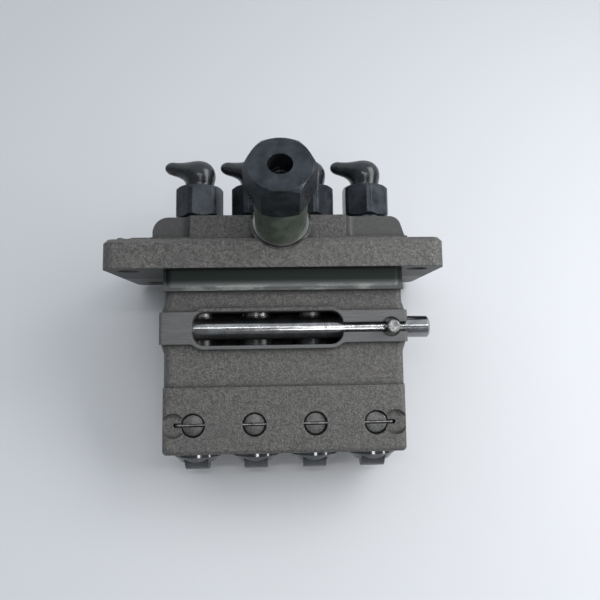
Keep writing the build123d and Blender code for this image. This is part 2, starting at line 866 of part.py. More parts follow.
# ---------------------------------------------------------------- tappets
def tappet(x):
    """Roller tappet: plunger pocket on top, guide slot in front, and a pocket for the roller below."""
    slot_top = roller_z + roller_radius + side_gap
    groove_top = guide_z + guide_radius + side_gap
    groove_bottom = guide_z - guide_radius - side_gap - lift
    with BuildPart() as body:
        add(
            turned(
                x,
                (0, tappet_bottom),
                (tappet_radius - tappet_chamfer, tappet_bottom),
                (tappet_radius, tappet_bottom + tappet_chamfer),
                (tappet_radius, tappet_top),
                (pocket_radius, tappet_top),
                (pocket_radius, foot_bottom),
                (0, foot_bottom),
            )
        )
        with BuildSketch(Plane(origin=(x, 0, tappet_bottom))):
            Rectangle(roller_slot, 2 * (roller_radius + side_gap))
        extrude(amount=slot_top - tappet_bottom, mode=Mode.SUBTRACT)
        with BuildSketch(Plane(origin=(x, 0, groove_bottom))):
            with Locations((0, -tappet_radius)):
                Rectangle(2 * (guide_radius + running_fit), 2 * (tappet_radius + guide_tip + side_gap))
        extrude(amount=groove_top - groove_bottom, mode=Mode.SUBTRACT)
        pin_bore = roller_pin_radius + running_fit
        cross = rod((x - tappet_radius, 0, roller_z), (1, 0, 0), pin_bore, 2 * tappet_radius)
        add(cross, mode=Mode.SUBTRACT)
    return body.part


def roller(x):
    with BuildPart() as wheel:
        with BuildSketch(Plane.YZ.offset(x - roller_width / 2)):
            with Locations((0, roller_z)):
                Circle(roller_radius)
                Circle(roller_pin_radius + running_fit, mode=Mode.SUBTRACT)
        extrude(amount=roller_width)
    return wheel.part


def lower_seat(x):
    """Spring seat with the open slot that slips over the plunger's stem."""
    with BuildPart() as seat:
        with BuildSketch(Plane(origin=(x, 0, tappet_top))):
            Circle(lower_seat_radius)
            Circle(stem_radius + side_gap, mode=Mode.SUBTRACT)
            with Locations((0, lower_seat_radius / 2)):
                Rectangle(2 * (stem_radius + side_gap), lower_seat_radius, mode=Mode.SUBTRACT)
        extrude(amount=lower_seat_height)
    return seat.part


for number, x in enumerate(row_x, start=1):
    save(control_sleeve(x), f"control_sleeve_{number}")
    save(plunger(x), f"plunger_{number}")
    save(delivery_valve(x), f"delivery_valve_{number}")
    save(delivery_holder(x, hex_turns[(number - 1) % len(hex_turns)]), f"delivery_holder_{number}")
    save(rubber_cap(x), f"rubber_cap_{number}")
    save(tappet(x), f"tappet_{number}")
    save(roller(x), f"roller_{number}")
    pin_start = (x - roller_pin_length / 2, 0, roller_z)
    save(rod(pin_start, (1, 0, 0), roller_pin_radius, roller_pin_length), f"roller_pin_{number}")
    save(lower_seat(x), f"lower_spring_seat_{number}")
    plunger_spring = coil(
        x,
        spring_radius,
        spring_wire,
        spring_turns,
        lower_seat_top,
        upper_seat_bottom,
        spring_steps,
        spring_sides,
    )
    save(plunger_spring, f"plunger_spring_{number}")
    valve_spring = coil(
        x,
        valve_spring_radius,
        valve_spring_wire,
        valve_spring_turns,
        neck_top + valve_head_height,
        spring_chamber_top,
        valve_spring_steps,
        valve_spring_sides,
    )
    save(valve_spring, f"delivery_spring_{number}")


# ---------------------------------------------------------------- rows of fixed pieces
def row(piece):
    """The same piece once for every plunger, as separate solids."""
    return Compound(children=[piece(x) for x in row_x])


save(row(barrel), "barrels")
save(row(delivery_seat), "delivery_seats")



def gasket(x):
    return tube(x, seat_radius, gasket_bore, gasket_bottom, holder_bottom)


def upper_seat(x):
    return tube(x, upper_seat_radius, upper_seat_bore, upper_seat_bottom, web_bottom)


save(row(gasket), "delivery_gaskets")
save(row(upper_seat), "upper_spring_seats")


def guide_pin(x):
    """Headed pin that keeps a tappet from turning; its slot takes the locking wire."""
    face = block_front + guide_head_sink
    with BuildPart() as pin:
        add(rod((x, face, guide_z), (0, 1, 0), guide_head_radius, guide_head_height))
        add(rod((x, face, guide_z), (0, 1, 0), guide_radius, guide_tip - face))
        with BuildSketch(Plane.XZ.offset(-face)):
            with Locations((x, guide_z)):
                Rectangle(2 * guide_head_radius + 1, driver_slot)
        extrude(amount=-driver_slot_depth, mode=Mode.SUBTRACT)
    return pin.part


save(row(guide_pin), "guide_pins")

with BuildPart() as locking_wire:
    wire_end = wire_y + wire_tail
    with BuildLine():
        Polyline(
            (wire_left, wire_end, guide_z),
            (wire_left, wire_y, guide_z),
            (wire_right, wire_y, guide_z),
            (wire_right, wire_end, guide_z),
        )
    with BuildSketch(Plane(origin=(wire_left, wire_end, guide_z), z_dir=(0, -1, 0))):
        RegularPolygon(wire_radius, 6)
    sweep(transition=Transition.RIGHT)
save(locking_wire.part, "locking_wire")
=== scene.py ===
"""Looks of the four-element injection pump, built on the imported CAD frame. Metres, Z up."""
import json
import math

import bpy
from mathutils import Matrix, Vector


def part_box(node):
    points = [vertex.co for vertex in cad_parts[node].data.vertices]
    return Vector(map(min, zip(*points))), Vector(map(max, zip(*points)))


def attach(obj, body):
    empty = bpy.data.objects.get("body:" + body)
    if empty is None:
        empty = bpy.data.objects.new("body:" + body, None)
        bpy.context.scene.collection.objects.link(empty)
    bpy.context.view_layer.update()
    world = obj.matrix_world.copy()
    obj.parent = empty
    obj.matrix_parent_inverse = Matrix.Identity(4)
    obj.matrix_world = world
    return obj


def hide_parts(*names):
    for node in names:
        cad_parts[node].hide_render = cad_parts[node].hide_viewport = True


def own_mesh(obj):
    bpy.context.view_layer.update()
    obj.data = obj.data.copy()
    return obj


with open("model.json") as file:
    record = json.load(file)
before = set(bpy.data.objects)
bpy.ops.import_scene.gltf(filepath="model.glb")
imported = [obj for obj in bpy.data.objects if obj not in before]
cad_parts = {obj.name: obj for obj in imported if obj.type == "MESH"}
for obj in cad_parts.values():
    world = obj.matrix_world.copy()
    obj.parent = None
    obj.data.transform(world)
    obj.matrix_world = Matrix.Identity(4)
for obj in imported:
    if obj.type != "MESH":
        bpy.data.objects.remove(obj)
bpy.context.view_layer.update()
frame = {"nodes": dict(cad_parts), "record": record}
scene = bpy.context.scene
nodes = frame["nodes"]

mm = 0.001
numbers = range(1, 5)


# ---------------------------------------------------------------- places read from the frame
def low(node):
    return Vector(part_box(node)[0])


def high(node):
    return Vector(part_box(node)[1])


def middle(node):
    return (low(node) + high(node)) / 2


row = [middle(f"roller_{number}").x for number in numbers]

# Faces of the casting that its material tells apart, in millimetres
flange_under = 0.0
flange_over = 11.0
pilot_bottom = -8.35
pilot_half = 18.3
boss_heights = (-29.9, -15.9)
boss_plane = -17.6
block_step = -43.2
head_front = -11.2
head_middle = -5.5
end_reach = 30.0


# ---------------------------------------------------------------- meshes
def new_object(name, vertices, faces, material, smooth=40):
    """Mesh object from points in millimetres; edges sharper than the angle stay sharp."""
    mesh = bpy.data.meshes.new(name)
    mesh.from_pydata([Vector(v) * mm for v in vertices], [], faces)
    mesh.shade_smooth()
    mesh.set_sharp_from_angle(angle=math.radians(smooth))
    mesh.materials.append(material)
    made = bpy.data.objects.new(name, mesh)
    scene.collection.objects.link(made)
    return made


def skin(rings, close_start=True, close_end=True):
    """Vertices and faces of a surface over rings that all have the same number of points."""
    vertices = [point for ring in rings for point in ring]
    count = len(rings[0])
    faces = []
    for level in range(len(rings) - 1):
        for index in range(count):
            after = (index + 1) % count
            here = level * count
            faces.append((here + index, here + after, here + count + after, here + count + index))
    if close_start:
        faces.append(tuple(reversed(range(count))))
    if close_end:
        last = (len(rings) - 1) * count
        faces.append(tuple(range(last, last + count)))
    return vertices, faces


def sweep(path, radius, sides):
    """Vertices and faces of a round bar along a path that stays close to level."""
    rings = []
    for index, point in enumerate(path):
        before = Vector(path[max(index - 1, 0)])
        after = Vector(path[min(index + 1, len(path) - 1)])
        along = (after - before).normalized()
        side = along.cross(Vector((0, 0, 1))).normalized()
        up = side.cross(along)
        ring = []
        for step in range(sides):
            angle = 2 * math.pi * step / sides
            ring.append(Vector(point) + radius * (math.cos(angle) * side + math.sin(angle) * up))
        rings.append(ring)
    return skin(rings)


def through(points, share):
    """Point on the smooth curve through a list of points, at a share of its spans."""
    place = share * (len(points) - 1)
    span = min(int(place), len(points) - 2)
    t = place - span
    p0 = points[max(span - 1, 0)]
    p1 = points[span]
    p2 = points[span + 1]
    p3 = points[min(span + 2, len(points) - 1)]
    return [
        0.5 * (2 * b + (c - a) * t + (2 * a - 5 * b + 4 * c - d) * t * t + (3 * b - a - 3 * c + d) * t**3)
        for a, b, c, d in zip(p0, p1, p2, p3)
    ]


# ---------------------------------------------------------------- camera
camera_place = Vector((-0.5, -248.3, -27.7)) * mm
camera_pitch = math.radians(6.68)
camera_yaw = math.radians(-2.41)
camera_roll = math.radians(-0.87)
focal_pixels = 631.0
centre_x = 308.5
centre_y = 268.7
image_size = 600.0


def make_camera():
    data = bpy.data.cameras.new("camera")
    data.sensor_width = 36
    data.lens = focal_pixels / image_size * data.sensor_width
    data.shift_x = (image_size / 2 - centre_x) / image_size
    data.shift_y = (centre_y - image_size / 2) / image_size
    data.clip_start = 0.005
    camera = bpy.data.objects.new("camera", data)
    scene.collection.objects.link(camera)
    turn = Matrix.Rotation(camera_yaw, 4, "Z") @ Matrix.Rotation(math.pi / 2 + camera_pitch, 4, "X")
    camera.matrix_world = Matrix.Translation(camera_place) @ turn @ Matrix.Rotation(camera_roll, 4, "Z")
    scene.camera = camera


# ---------------------------------------------------------------- material building
class Shader:
    """A principled material whose nodes are added by short calls; sizes are in millimetres."""

    def __init__(self, name, **fixed):
        self.material = bpy.data.materials.new(name)
        self.material.use_nodes = True
        self.tree = self.material.node_tree
        self.surface = self.tree.nodes["Principled BSDF"]
        for socket, value in fixed.items():
            self.surface.inputs[socket.replace("_", " ").title()].default_value = value
        place = self.add("ShaderNodeTexCoord").outputs["Object"]
        self.place = self.vector("SCALE", place, scale=1 / mm)
        self.normal = self.add("ShaderNodeNewGeometry").outputs["Normal"]

    def add(self, kind, **settings):
        node = self.tree.nodes.new(kind)
        for name, value in settings.items():
            setattr(node, name, value)
        return node

    def feed(self, socket, value):
        if isinstance(value, bpy.types.NodeSocket):
            self.tree.links.new(value, socket)
        elif value is not None:
            socket.default_value = value

    def math(self, operation, first, second=None, clamp=False):
        node = self.add("ShaderNodeMath", operation=operation, use_clamp=clamp)
        for socket, value in zip(node.inputs, (first, second)):
            self.feed(socket, value)
        return node.outputs[0]

    def vector(self, operation, first, second=None, scale=None):
        node = self.add("ShaderNodeVectorMath", operation=operation)
        self.feed(node.inputs[0], first)
        self.feed(node.inputs[1], second)
        if scale is not None:
            self.feed(node.inputs["Scale"], scale)
        return node.outputs[0]

    def axis(self, vector, name):
        node = self.add("ShaderNodeSeparateXYZ")
        self.feed(node.inputs[0], vector)
        return node.outputs[name]

    def stretch(self, x, y, z):
        """The position, scaled separately along each axis."""
        return self.vector("MULTIPLY", self.place, (x, y, z))

    def noise(self, size, detail=2.0, roughness=0.5, place=None):
        node = self.add("ShaderNodeTexNoise")
        self.feed(node.inputs["Vector"], place or self.place)
        self.feed(node.inputs["Scale"], 1 / size)
        self.feed(node.inputs["Detail"], detail)
        self.feed(node.inputs["Roughness"], roughness)
        return node.outputs[0]

    def cells(self, size):
        """Distance from the middle of the nearest of many small cells."""
        node = self.add("ShaderNodeTexVoronoi")
        self.feed(node.inputs["Vector"], self.place)
        self.feed(node.inputs["Scale"], 1 / size)
        return node.outputs["Distance"]

    def remap(self, value, low_in, high_in, low_out=0.0, high_out=1.0):
        """Smooth step from one pair of values to another."""
        node = self.add("ShaderNodeMapRange", interpolation_type="SMOOTHSTEP")
        for socket, number in zip(node.inputs, (value, low_in, high_in, low_out, high_out)):
            self.feed(socket, number)
        return node.outputs[0]

    def mix(self, amount, first, second):
        """Colour between two colours."""
        node = self.add("ShaderNodeMix", data_type="RGBA")
        self.feed(node.inputs[0], amount)
        self.feed(node.inputs[6], first)
        self.feed(node.inputs[7], second)
        return node.outputs[2]

    def blend(self, amount, first, second):
        """Number between two numbers."""
        node = self.add("ShaderNodeMix", data_type="FLOAT")
        self.feed(node.inputs[0], amount)
        self.feed(node.inputs[2], first)
        self.feed(node.inputs[3], second)
        return node.outputs[0]

    def turn(self, amount, first, second):
        """Direction between two directions."""
        node = self.add("ShaderNodeMix", data_type="VECTOR")
        self.feed(node.inputs[0], amount)
        self.feed(node.inputs[4], first)
        self.feed(node.inputs[5], second)
        return node.outputs[1]

    def rounded(self, radius):
        """Normal that rounds sharp edges a little."""
        node = self.add("ShaderNodeBevel", samples=6)
        node.inputs["Radius"].default_value = radius * mm
        return node.outputs[0]

    def crease(self, reach):
        """1 in narrow corners, 0 on open faces."""
        node = self.add("ShaderNodeAmbientOcclusion", samples=6, only_local=True)
        node.inputs["Distance"].default_value = reach * mm
        return self.remap(node.outputs["AO"], 0.92, 0.45)

    def bump(self, height, distance, strength=1.0, normal=None):
        node = self.add("ShaderNodeBump")
        self.feed(node.inputs["Height"], height)
        self.feed(node.inputs["Distance"], distance * mm)
        self.feed(node.inputs["Strength"], strength)
        self.feed(node.inputs["Normal"], normal)
        return node.outputs[0]

    def inside(self, coordinate, low_edge, high_edge, soft=0.2):
        """1 where a coordinate lies between two edges."""
        rising = self.remap(coordinate, low_edge - soft, low_edge + soft)
        falling = self.remap(coordinate, high_edge - soft, high_edge + soft, 1.0, 0.0)
        return self.math("MULTIPLY", rising, falling)

    def set(self, **links):
        """Feeds the surface's sockets and gives the finished material."""
        for socket, value in links.items():
            self.feed(self.surface.inputs[socket.replace("_", " ").title()], value)
        return self.material


def grey(level, warm=0.0):
    """Grey of a level, a little warmer or, below zero, cooler."""
    return (level * (1 + warm), level, level * (1 - warm), 1)


def cast_iron():
    """Sand-cast grain everywhere except on the faces that a cutter has been over."""
    s = Shader("cast_iron")
    x = s.axis(s.place, "X")
    y = s.axis(s.place, "Y")
    z = s.axis(s.place, "Z")
    forward = s.remap(s.axis(s.normal, "Y"), -0.9, -0.97)
    downward = s.remap(s.axis(s.normal, "Z"), -0.9, -0.97)
    grain = s.noise(0.7, 3.0, 0.75)
    lumps = s.noise(1.5, 3.0, 0.7)
    blotch = s.noise(18.0, 3.0, 0.6)
    grit = s.cells(0.95)
    milled = s.noise(0.45, 2.0, 0.6, place=s.stretch(0.06, 1.0, 1.0))

    # Where the milled boss, the turned pilot and the smoother ends of the head are
    boss_band = s.inside(z, *boss_heights, 0.1)
    boss = s.math("MULTIPLY", boss_band, s.remap(y, boss_plane + 0.1, boss_plane - 0.1))
    pilot_band = s.inside(z, pilot_bottom, flange_under, 0.05)
    pilot = s.math("MULTIPLY", pilot_band, s.inside(y, -pilot_half, pilot_half))
    over_flange = s.remap(z, flange_over, flange_over + 1.1)
    behind_front = s.remap(y, head_front, head_front + 1.2)
    from_middle = s.math("ABSOLUTE", s.math("SUBTRACT", x, head_middle))
    ends = s.math("MULTIPLY", over_flange, behind_front)
    ends = s.math("MULTIPLY", ends, s.remap(from_middle, end_reach - 2.0, end_reach + 2.0))
    machined = s.math("MAXIMUM", s.math("MULTIPLY", boss, forward), s.math("MAXIMUM", pilot, downward))
    not_sandy = s.math("MAXIMUM", machined, s.math("MULTIPLY", ends, 0.75))
    sandy = s.math("SUBTRACT", 1.0, not_sandy, clamp=True)

    # Relief
    pebbles = s.math("ADD", s.math("MULTIPLY", grain, 0.6), s.math("MULTIPLY", lumps, 0.4))
    cut = s.math("MULTIPLY", milled, s.blend(pilot, 0.03, 0.006))
    worn = s.math("MULTIPLY", lumps, 0.2)
    relief = s.blend(sandy, s.blend(ends, cut, worn), pebbles)

    # Colour of the casting, and of its machined faces
    speckle = s.remap(pebbles, 0.38, 0.64)
    casting = s.mix(speckle, grey(0.058, 0.03), grey(0.145, 0.05))
    casting = s.mix(s.remap(grit, 0.28, 0.1, 0.0, 0.34), casting, grey(0.33, 0.05))
    casting = s.mix(s.remap(blotch, 0.35, 0.75, 0.0, 0.35), casting, grey(0.1, 0.03))
    clean = s.mix(s.remap(milled, 0.3, 0.7), grey(0.085), grey(0.125, -0.02))
    clean = s.mix(s.remap(blotch, 0.3, 0.75, 0.0, 0.4), clean, grey(0.1, -0.02))
    colour = s.mix(sandy, clean, casting)

    # Painted shade above the flange and on the smoother ends of the head, and painted shadow below the
    # pilot's lip, between the pilot and the boss
    over = s.remap(z, flange_over + 0.2, flange_over + 2.0, 0.0, 0.7)
    over = s.math("ADD", over, s.math("MULTIPLY", ends, 0.2))
    under = s.math("MULTIPLY", s.inside(z, boss_heights[1], pilot_bottom, 0.4), 0.45)
    shade = s.mix(sandy, grey(0.05), s.mix(speckle, grey(0.035), grey(0.09, 0.03)))
    colour = s.mix(s.math("MAXIMUM", over, under), colour, shade)

    # The pilot is wet with oil; its colour carries painted shade below the flange and is bright along its
    # lower edge
    oil_and_shade = s.math("MULTIPLY", pilot, s.remap(z, pilot_bottom + 1.4, pilot_bottom + 4.4))
    colour = s.mix(s.math("MULTIPLY", oil_and_shade, 0.97), colour, (0.022, 0.028, 0.026, 1))
    # Painted highlight along the lower edge of the pilot, broken into streaks
    edge = s.math("MULTIPLY", pilot, s.remap(z, pilot_bottom + 3.0, pilot_bottom + 0.6))
    painted_sheen = s.remap(s.noise(9.0, 4.0, 0.65, place=s.stretch(1.0, 1.0, 3.0)), 0.4, 0.66, 0.15, 0.9)
    colour = s.mix(s.math("MULTIPLY", edge, painted_sheen), colour, (0.4, 0.43, 0.4, 1))

    # Painted shade in corners and a painted shadow line under the step of the tappet block
    step_band = s.inside(z, block_step, block_step + 0.8, 0.25)
    step = s.math("MULTIPLY", step_band, s.remap(y, -15.0, -16.0))
    corner_shade = s.math("MAXIMUM", s.crease(2.6), step)
    colour = s.mix(s.math("MULTIPLY", corner_shade, 0.75), colour, (0.022, 0.021, 0.019, 1))

    tooled = s.remap(milled, 0.3, 0.7, 0.4, 0.54)
    rough = s.blend(sandy, tooled, s.remap(grain, 0.3, 0.7, 0.62, 0.44))
    rough = s.blend(oil_and_shade, rough, 0.6)
    softened = s.turn(pilot, s.rounded(0.45), s.normal)
    metal = s.blend(oil_and_shade, 0.35, 1.0)
    normal = s.bump(relief, 0.4, 0.85, softened)
    return s.set(Base_color=colour, Metallic=metal, Roughness=rough, Normal=normal)


def black_steel():
    """Oil-blackened steel, ground along the axis of its hexagons, with a few bright scratches."""
    s = Shader("black_steel", Metallic=0.7)
    blotch = s.noise(5.0, 3.0, 0.6)
    scratch = s.noise(0.5, 3.0, 0.65, place=s.stretch(1.0, 1.0, 0.12))
    wear = s.noise(3.2, 3.0, 0.6, place=s.stretch(1.0, 1.0, 0.35))
    colour = s.mix(s.remap(blotch, 0.3, 0.75), (0.022, 0.026, 0.031, 1), (0.047, 0.054, 0.064, 1))
    worn = s.math("MULTIPLY", s.remap(scratch, 0.62, 0.78), s.remap(wear, 0.5, 0.68))
    colour = s.mix(s.math("MULTIPLY", worn, 0.7), colour, (0.26, 0.27, 0.29, 1))
    rough = s.remap(blotch, 0.3, 0.7, 0.26, 0.38)
    normal = s.bump(scratch, 0.02, 0.6, s.rounded(0.3))
    return s.set(Base_color=colour, Roughness=rough, Normal=normal)


def olive_plate():
    """Zinc-plated steel with an olive passivated film that has aged in blotches."""
    s = Shader("olive_plate", Metallic=0.35)
    blotch = s.noise(7.0, 4.0, 0.6)
    fine = s.noise(0.8, 2.0, 0.5)
    colour = s.mix(s.remap(blotch, 0.3, 0.7), (0.06, 0.075, 0.058, 1), (0.14, 0.165, 0.13, 1))
    colour = s.mix(s.remap(fine, 0.66, 0.8, 0.0, 0.4), colour, (0.2, 0.22, 0.18, 1))
    rough = s.remap(fine, 0.3, 0.7, 0.3, 0.44)
    return s.set(Base_color=colour, Roughness=rough, Normal=s.bump(fine, 0.04, 0.5, s.rounded(0.3)))


def plain_metal(name, level, warm, rough_low, rough_high, grain_place=(1, 1, 1), radius=0.2):
    """Ground or turned bare metal: fine lines, faint stains and soft edges."""
    s = Shader(name, Metallic=1.0)
    lines = s.noise(0.25, 2.0, 0.6, place=s.stretch(*grain_place))
    stain = s.noise(6.0, 3.0, 0.6)
    colour = s.mix(s.remap(stain, 0.3, 0.75), grey(level * 0.72, warm), grey(level, warm))
    film = s.remap(stain, 0.4, 0.8, 0.0, 0.06)
    rough = s.math("ADD", s.remap(lines, 0.25, 0.75, rough_low, rough_high), film)
    return s.set(Base_color=colour, Roughness=rough, Normal=s.bump(lines, 0.01, 0.6, s.rounded(radius)))


def rack_steel():
    """Ground bar: faint rings round it and a thin film of oil that has dried in patches."""
    s = Shader("rack_steel", Metallic=1.0)
    rings = s.noise(0.12, 2.0, 0.6, place=s.stretch(1.0, 0.02, 0.02))
    marks = s.noise(2.4, 3.0, 0.7, place=s.stretch(1.0, 0.08, 0.08))
    stain = s.noise(5.0, 4.0, 0.6)
    colour = s.mix(s.remap(stain, 0.3, 0.72), grey(0.22, -0.01), grey(0.36, -0.01))
    colour = s.mix(s.remap(marks, 0.64, 0.74, 0.0, 0.5), colour, grey(0.08))
    film = s.remap(stain, 0.4, 0.8, 0.0, 0.06)
    rough = s.math("ADD", s.remap(rings, 0.25, 0.75, 0.14, 0.19), film)
    return s.set(Base_color=colour, Roughness=rough, Normal=s.bump(rings, 0.002, 0.7, s.rounded(0.3)))


def turned_steel():
    """Turned pin: rings round its own axis, which show as a bow of light on its end face."""
    s = Shader("turned_steel", Metallic=1.0)
    pin = middle("rack_pin") / mm
    off = s.vector("SUBTRACT", s.stretch(1.0, 0.0, 1.0), (pin.x, 0.0, pin.z))
    radius = s.add("ShaderNodeVectorMath", operation="LENGTH")
    s.feed(radius.inputs[0], off)
    rings = s.noise(0.16, 2.0, 0.6, place=s.vector("SCALE", (1.0, 0.0, 0.0), scale=radius.outputs["Value"]))
    stain = s.noise(1.8, 3.0, 0.6)
    colour = s.mix(s.remap(stain, 0.35, 0.7), grey(0.26), grey(0.42))
    rough = s.remap(stain, 0.3, 0.7, 0.2, 0.32)
    return s.set(Base_color=colour, Roughness=rough, Normal=s.bump(rings, 0.012, 0.9, s.rounded(0.25)))


def pin_steel():
    """Phosphated screw heads: dull, with fine turning rings and worn rims."""
    s = Shader("pin_steel", Metallic=0.7)
    mottle = s.noise(0.7, 3.0, 0.65)
    stain = s.noise(3.0, 3.0, 0.6)
    colour = s.mix(s.remap(mottle, 0.32, 0.68), grey(0.075, 0.01), grey(0.17, 0.01))
    colour = s.mix(s.remap(stain, 0.35, 0.7, 0.0, 0.5), colour, grey(0.07, 0.02))
    rough = s.remap(mottle, 0.3, 0.7, 0.36, 0.5)
    return s.set(Base_color=colour, Roughness=rough, Normal=s.bump(mottle, 0.04, 0.7))


def wire_steel():
    """Drawn soft wire, grey with oxide."""
    s = Shader("wire_steel", Metallic=0.9)
    stain = s.noise(1.6, 3.0, 0.6)
    lines = s.noise(0.2, 2.0, 0.6, place=s.stretch(0.1, 1.0, 1.0))
    colour = s.mix(s.remap(stain, 0.35, 0.68), grey(0.13, 0.01), grey(0.3, 0.01))
    rough = s.remap(stain, 0.3, 0.7, 0.3, 0.42)
    return s.set(Base_color=colour, Roughness=rough, Normal=s.bump(lines, 0.01, 0.5))


def dark_steel():
    """Hardened and blackened steel, polished and wet with oil."""
    s = Shader("dark_steel", Metallic=0.9, Coat_weight=0.6, Coat_roughness=0.06)
    stain = s.noise(4.0, 3.0, 0.6)
    fine = s.noise(0.3, 2.0, 0.6, place=s.stretch(1.0, 1.0, 0.2))
    colour = s.mix(s.remap(stain, 0.3, 0.72), (0.05, 0.054, 0.058, 1), grey(0.1, 0.02))
    rough = s.remap(stain, 0.3, 0.7, 0.1, 0.2)
    return s.set(Base_color=colour, Roughness=rough, Normal=s.bump(fine, 0.006, 0.5, s.rounded(0.3)))


def oiled_black():
    """Case-hardened sleeves and rollers, black all over and covered in oil."""
    s = Shader("oiled_black", Metallic=0.1)
    stain = s.noise(3.0, 3.0, 0.6)
    fine = s.noise(0.3, 2.0, 0.6)
    colour = s.mix(s.remap(stain, 0.3, 0.72), (0.016, 0.018, 0.02, 1), (0.04, 0.043, 0.046, 1))
    rough = s.remap(stain, 0.3, 0.7, 0.2, 0.3)
    return s.set(Base_color=colour, Roughness=rough, Normal=s.bump(fine, 0.004, 0.4, s.rounded(0.25)))


def black_rubber():
    """Moulded rubber, shiny where it has been handled and dull where dust lies."""
    s = Shader("black_rubber", Metallic=0.0)
    fine = s.noise(0.35, 2.0, 0.5)
    dust = s.noise(3.0, 4.0, 0.65)
    colour = s.mix(s.remap(dust, 0.45, 0.8), (0.011, 0.013, 0.016, 1), (0.028, 0.031, 0.036, 1))
    rough = s.remap(dust, 0.3, 0.7, 0.15, 0.27)
    return s.set(Base_color=colour, Roughness=rough, Normal=s.bump(fine, 0.012, 0.5))


materials = {
    "casting": cast_iron(),
    "black_oxide": black_steel(),
    "olive_plate": olive_plate(),
    "washer_metal": plain_metal("washer_metal", 0.3, 0.0, 0.25, 0.4),
    "bright_steel": plain_metal("bright_steel", 0.5, 0.01, 0.16, 0.28, (0.1, 1, 1)),
    "hard_steel": plain_metal("hard_steel", 0.3, 0.02, 0.22, 0.38, (1, 1, 0.1)),
    "spring_steel": plain_metal("spring_steel", 0.2, 0.0, 0.3, 0.45),
    "copper": plain_metal("copper", 0.35, 0.3, 0.3, 0.45),
    "rubber": black_rubber(),
}


special = {
    "control_rack": rack_steel(),
    "rack_pin": turned_steel(),
    "guide_pins": pin_steel(),
    "locking_wire": wire_steel(),
}
oiled = dark_steel()
hardened = oiled_black()
for number in numbers:
    for kind in ("control_sleeve", "roller"):
        special[f"{kind}_{number}"] = hardened
    for kind in ("tappet", "roller_pin"):
        special[f"{kind}_{number}"] = oiled


def dress_nodes():
    """Gives every CAD node its own material, or else the material of its slot."""
    for part in frame["record"]["subparts"]:
        mesh = nodes[part["node"]].data
        mesh.materials.clear()
        mesh.materials.append(special.get(part["node"], materials[part["material_slot"]]))


# ---------------------------------------------------------------- rubber caps
# Each row: right-hand or upper edge (across, up), left-hand or lower edge (across, up), half depth
cap_sections = (
    (5.60, 0.0, -5.60, 0.0, 5.60),
    (5.62, 1.1, -5.60, 0.9, 5.60),
    (6.00, 2.9, -5.70, 1.8, 5.85),
    (6.28, 5.1, -5.95, 2.5, 6.10),
    (5.75, 7.6, -6.35, 3.1, 6.15),
    (4.15, 9.7, -6.85, 3.6, 5.95),
    (1.75, 10.85, -7.40, 4.0, 5.55),
    (-0.90, 11.08, -8.05, 4.35, 4.95),
    (-3.60, 10.75, -8.85, 4.7, 4.25),
    (-6.30, 10.45, -9.70, 5.0, 3.65),
    (-8.80, 10.45, -10.70, 5.3, 3.15),
    (-11.00, 10.6, -11.80, 5.7, 2.75),
    (-12.50, 10.15, -12.75, 6.3, 2.15),
    (-13.40, 9.35, -13.50, 7.1, 1.35),
    (-13.76, 8.5, -13.77, 8.0, 0.35),
)
cap_bore = 5.06
cap_bore_end = 7.9
cap_lip = 5.3
cap_lip_height = 0.25
cap_sides = 40
cap_levels = 56
point = 0.02


def make_cap(number):
    """Rubber cap as one skin: up the inside of its bore, then over the outside to the tip of the beak."""
    x = row[number - 1] / mm
    foot = low(f"rubber_cap_{number}").z / mm
    turns = [2 * math.pi * side / cap_sides for side in range(cap_sides)]
    rings = []
    bore = ((point, cap_bore_end), (cap_bore, cap_bore_end), (cap_bore, cap_lip_height), (cap_lip, 0.0))
    for radius, height in bore:
        ring = [(x + radius * math.cos(t), radius * math.sin(t), foot + height) for t in turns]
        rings.append(ring)
    for level in range(cap_levels + 1):
        right, right_up, left, left_up, depth = through(cap_sections, level / cap_levels)
        middle_x = (right + left) / 2
        middle_z = (right_up + left_up) / 2
        ring = []
        for t in turns:
            across = middle_x + (right - left) / 2 * math.cos(t)
            up = middle_z + (right_up - left_up) / 2 * math.cos(t)
            ring.append((x + across, depth * math.sin(t), foot + up))
        rings.append(ring)
    cap = new_object(f"soft_cap_{number}", *skin(rings), materials["rubber"], 50)
    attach(cap, f"cap_{number}")
    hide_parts(f"rubber_cap_{number}")


# ---------------------------------------------------------------- guide pins and their wire
pin_shank = 2.0
pin_head = 3.0
pin_centre = 0.001
pin_round = 0.55
pin_dome = 0.35
pin_sides = 64
rim_steps = 4
dome_steps = 8
slot_half = 0.6
slot_depth = 1.6
cutter_margin = 1.0


def pin_profile(front, tip, radius):
    """Radius and depth of points from the pin's tip, along its shank and head, to the middle of its face."""
    head_end = front + pin_head
    profile = [(pin_centre, tip), (pin_shank, tip), (pin_shank, head_end), (radius, head_end)]
    rim = radius - pin_round
    for step in range(rim_steps + 1):
        angle = math.pi / 2 * step / rim_steps
        depth = front + pin_dome + pin_round * (1 - math.sin(angle))
        profile.append((rim + pin_round * math.cos(angle), depth))
    for step in range(1, dome_steps + 1):
        share = 1 - step / dome_steps
        profile.append((max(rim * share, pin_centre), front + pin_dome * share**2))
    return profile


def join(parts):
    """One list of vertices and one of faces from several such pairs."""
    vertices = []
    faces = []
    for more, shapes in parts:
        faces += [tuple(index + len(vertices) for index in shape) for shape in shapes]
        vertices += more
    return vertices, faces


def turned_pin(x, z, profile):
    turns = [2 * math.pi * side / pin_sides for side in range(pin_sides)]
    return skin([[(x + r * math.cos(t), y, z + r * math.sin(t)) for t in turns] for r, y in profile])


def block(across, depth, up):
    """Box between two values along each axis."""
    points = [(x, y, z) for x in across for y in depth for z in up]
    quads = [(0, 1, 3, 2), (4, 6, 7, 5), (0, 4, 5, 1), (2, 3, 7, 6), (0, 2, 6, 4), (1, 5, 7, 3)]
    return points, quads


